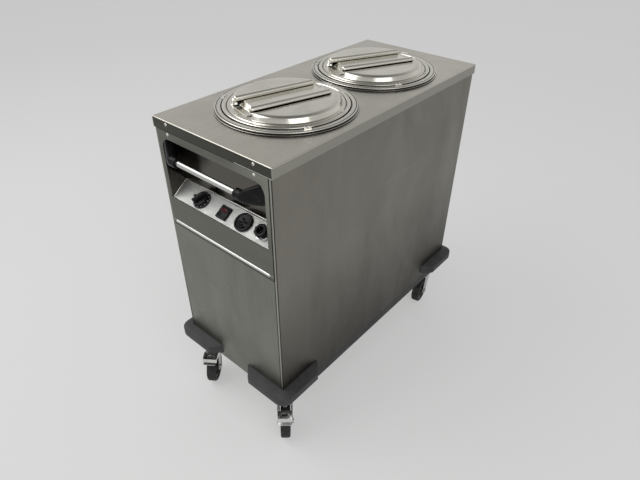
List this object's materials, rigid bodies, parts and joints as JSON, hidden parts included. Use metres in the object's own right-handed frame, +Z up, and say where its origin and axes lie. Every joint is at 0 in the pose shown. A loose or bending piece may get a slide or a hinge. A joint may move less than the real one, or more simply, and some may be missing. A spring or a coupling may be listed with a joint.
{
  "type": "heated plate dispenser cart",
  "caption": "Heated two-tube plate dispenser cart in stainless steel, with sprung plate carriers, lift-off lids, a recessed push handle and controls, corner bumpers and swivel castors.",
  "frame": {"origin": "on the floor under the middle of the whole cart, over its bumpers", "axes": "+Z up, -Y towards the control and push-handle end, +X to the right seen from that end"},
  "size_m": [0.477, 0.9664, 0.988],
  "materials": {
    "top_steel": "fine brushed, lightly smudged",
    "side_steel": "fine brushed, lightly smudged",
    "upper_sheet_steel": "brushed, darker",
    "lower_sheet_steel": "fine brushed",
    "frame_steel": "dark satin",
    "recess_steel": "smooth, reflecting",
    "panel_aluminium": "bright satin",
    "tube_aluminium": "bright satin",
    "black_plastic": "satin moulded",
    "knob_plastic": "semi-gloss",
    "rocker_plastic": "gloss",
    "lens_red": "gloss",
    "bright_ring": "polished",
    "bumper_rubber": "fine grained",
    "screw_steel": "polished heads",
    "castor_zinc": "bright zinc",
    "pedal_zinc": "bright zinc",
    "rim_plastic": "moulded",
    "tyre_rubber": "dull",
    "collar_steel": "polished",
    "tube_steel": "smooth",
    "spring_steel": "bright",
    "heater_steel": "heat-darkened",
    "lid_steel": "polished, lightly brushed"
  },
  "bodies": {
    "root": {"base_rails": "frame_steel", "base_tray": "frame_steel", "bumper_front_left": "bumper_rubber", "bumper_front_right": "bumper_rubber", "bumper_rear_left": "bumper_rubber", "bumper_rear_right": "bumper_rubber", "castor_plates": "castor_zinc", "control_panel": "panel_aluminium", "fixings": "screw_steel", "front_collar": "collar_steel", "front_lower_sheet": "lower_sheet_steel", "front_springs": "spring_steel", "front_tube": "tube_steel", "front_upper_sheet": "upper_sheet_steel", "guide_rods": "tube_steel", "handle_bracket_left": "black_plastic", "handle_bracket_right": "black_plastic", "heaters": "heater_steel", "inlet_ring": "bright_ring", "push_tube": "tube_aluminium", "rear_collar": "collar_steel", "rear_sheet": "side_steel", "rear_springs": "spring_steel", "rear_tube": "tube_steel", "recess_box": "recess_steel", "side_panel_left": "side_steel", "side_panel_right": "side_steel", "storage_socket": "black_plastic", "supply_inlet": "black_plastic", "switch_housing": "black_plastic", "thermostat": "black_plastic", "top_plate": "top_steel", "top_rails": "frame_steel"},
    "thermostat_knob": {"thermostat_knob": "knob_plastic"},
    "switch_rocker": {"switch_rocker": "rocker_plastic", "switch_lens": "lens_red"},
    "front_platform": {"front_platform": "tube_steel"},
    "front_lid": {"front_lid": "lid_steel", "front_lid_grip": "lid_steel"},
    "rear_platform": {"rear_platform": "tube_steel"},
    "rear_lid": {"rear_lid": "lid_steel", "rear_lid_grip": "lid_steel"},
    "castor_fork_front_left": {"castor_fork_front_left": "castor_zinc", "castor_axle_front_left": "castor_zinc"},
    "castor_wheel_front_left": {"castor_rim_front_left": "rim_plastic", "castor_tyre_front_left": "tyre_rubber"},
    "castor_fork_front_right": {"castor_fork_front_right": "castor_zinc", "castor_axle_front_right": "castor_zinc"},
    "castor_wheel_front_right": {"castor_rim_front_right": "rim_plastic", "castor_tyre_front_right": "tyre_rubber"},
    "castor_fork_rear_left": {"castor_fork_rear_left": "castor_zinc", "castor_axle_rear_left": "castor_zinc"},
    "castor_wheel_rear_left": {"castor_rim_rear_left": "rim_plastic", "castor_tyre_rear_left": "tyre_rubber"},
    "castor_fork_rear_right": {"castor_fork_rear_right": "castor_zinc", "castor_axle_rear_right": "castor_zinc"},
    "castor_wheel_rear_right": {"castor_rim_rear_right": "rim_plastic", "castor_tyre_rear_right": "tyre_rubber"},
    "brake_pedal_front_left": {"brake_pedal_front_left": "pedal_zinc"},
    "brake_pedal_front_right": {"brake_pedal_front_right": "pedal_zinc"}
  },
  "joints": [
    {"name": "thermostat_turn", "type": "hinge", "parent": "root", "child": "thermostat_knob", "pos_m": [-0.088, -0.42341, 0.73987], "axis": [0, -0.5299, 0.848], "range_deg": [-270, 0]},
    {"name": "switch_rock", "type": "hinge", "parent": "root", "child": "switch_rocker", "pos_m": [0.002, -0.42553, 0.73854], "axis": [1, 0, 0], "range_deg": [-16, 0]},
    {"name": "front_platform_travel", "type": "slide", "parent": "root", "child": "front_platform", "axis": [0, 0, 1], "range_m": [-0.5, 0], "stiffness_N_per_m": 250, "springref_m": 0.08, "deforming": ["front_springs"]},
    {"name": "front_lid_lift", "type": "slide", "parent": "root", "child": "front_lid", "axis": [0, 0, -1], "range_m": [-0.25, 0]},
    {"name": "rear_platform_travel", "type": "slide", "parent": "root", "child": "rear_platform", "axis": [0, 0, 1], "range_m": [-0.5, 0], "stiffness_N_per_m": 250, "springref_m": 0.08, "deforming": ["rear_springs"]},
    {"name": "rear_lid_lift", "type": "slide", "parent": "root", "child": "rear_lid", "axis": [0, 0, -1], "range_m": [-0.25, 0]},
    {"name": "castor_swivel_front_left", "type": "hinge", "parent": "root", "child": "castor_fork_front_left", "pos_m": [-0.167, -0.407, 0.12], "axis": [0, 0, 1], "continuous": true},
    {"name": "castor_roll_front_left", "type": "hinge", "parent": "castor_fork_front_left", "child": "castor_wheel_front_left", "pos_m": [-0.14702, -0.43451, 0.05], "axis": [0.809, 0.5878, 0], "continuous": true},
    {"name": "castor_swivel_front_right", "type": "hinge", "parent": "root", "child": "castor_fork_front_right", "pos_m": [0.167, -0.407, 0.12], "axis": [0, 0, 1], "continuous": true},
    {"name": "castor_roll_front_right", "type": "hinge", "parent": "castor_fork_front_right", "child": "castor_wheel_front_right", "pos_m": [0.19019, -0.43187, 0.05], "axis": [0.7314, 0.682, 0], "continuous": true},
    {"name": "castor_swivel_rear_left", "type": "hinge", "parent": "root", "child": "castor_fork_rear_left", "pos_m": [-0.167, 0.407, 0.12], "axis": [0, 0, 1], "continuous": true},
    {"name": "castor_roll_rear_left", "type": "hinge", "parent": "castor_fork_rear_left", "child": "castor_wheel_rear_left", "pos_m": [-0.15317, 0.37594, 0.05], "axis": [0.9135, 0.4067, 0], "continuous": true},
    {"name": "castor_swivel_rear_right", "type": "hinge", "parent": "root", "child": "castor_fork_rear_right", "pos_m": [0.167, 0.407, 0.12], "axis": [0, 0, 1], "continuous": true},
    {"name": "castor_roll_rear_right", "type": "hinge", "parent": "castor_fork_rear_right", "child": "castor_wheel_rear_right", "pos_m": [0.1729, 0.37352, 0.05], "axis": [0.9848, 0.1736, 0], "continuous": true},
    {"name": "brake_pedal_front_left", "type": "hinge", "parent": "castor_fork_front_left", "child": "brake_pedal_front_left", "pos_m": [-0.15773, -0.41976, 0.10611], "axis": [0.809, 0.5878, 0], "range_deg": [0, 14]},
    {"name": "brake_pedal_front_right", "type": "hinge", "parent": "castor_fork_front_right", "child": "brake_pedal_front_right", "pos_m": [0.17775, -0.41853, 0.10611], "axis": [0.7314, 0.682, 0], "range_deg": [-14, 0]}
  ]
}
